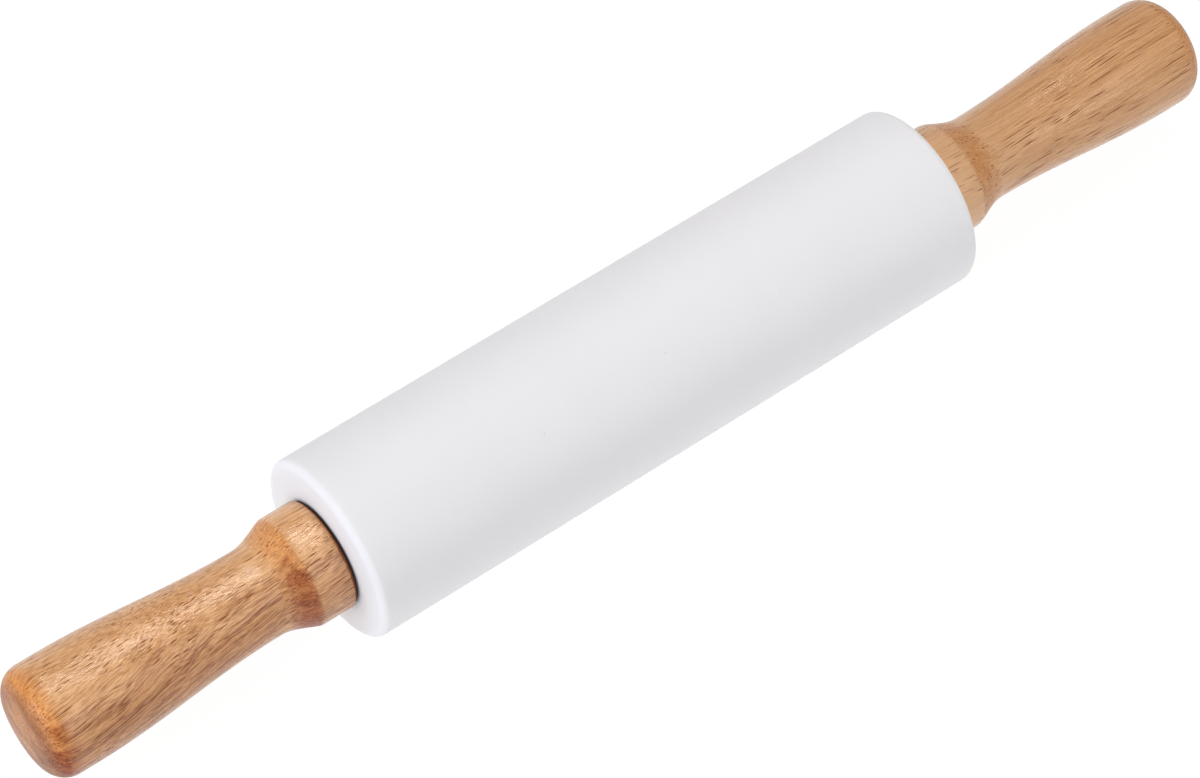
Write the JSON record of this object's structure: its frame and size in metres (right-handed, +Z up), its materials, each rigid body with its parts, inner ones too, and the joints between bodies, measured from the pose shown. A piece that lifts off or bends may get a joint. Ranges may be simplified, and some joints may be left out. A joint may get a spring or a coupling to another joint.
{
  "type": "rolling pin",
  "caption": "Rolling pin with a smooth silicone skinned roller that spins on a steel shaft between turned wooden handles.",
  "frame": {"origin": "under the middle of the roller, on the worktop that the roller rests on", "axes": "+X along the roller's axis towards the right handle, +Z up, +Y away from a viewer in front"},
  "size_m": [0.378, 0.052, 0.0518],
  "materials": {
    "silicone_white": "satin moulded silicone",
    "core_plastic": "moulded polypropylene",
    "nylon_natural": "moulded nylon",
    "steel_rod": "drawn bright steel",
    "washer_dark": "dark fibre",
    "insert_brass": "turned brass",
    "handle_wood": "turned hardwood under satin lacquer"
  },
  "bodies": {
    "roller": {"silicone_sleeve": "silicone_white", "core_tube": "core_plastic", "end_plug_left": "core_plastic", "end_plug_right": "core_plastic", "bush_left": "nylon_natural", "bush_right": "nylon_natural"},
    "handle_set": {"shaft": "steel_rod", "thrust_washer_left": "washer_dark", "thrust_washer_right": "washer_dark", "threaded_insert_left": "insert_brass", "threaded_insert_right": "insert_brass", "handle_left": "handle_wood", "handle_right": "handle_wood"}
  },
  "joints": [
    {"name": "handle_spin", "type": "hinge", "parent": "roller", "child": "handle_set", "pos_m": [0, 0, 0.0258], "axis": [1, 0, 0], "continuous": true}
  ]
}
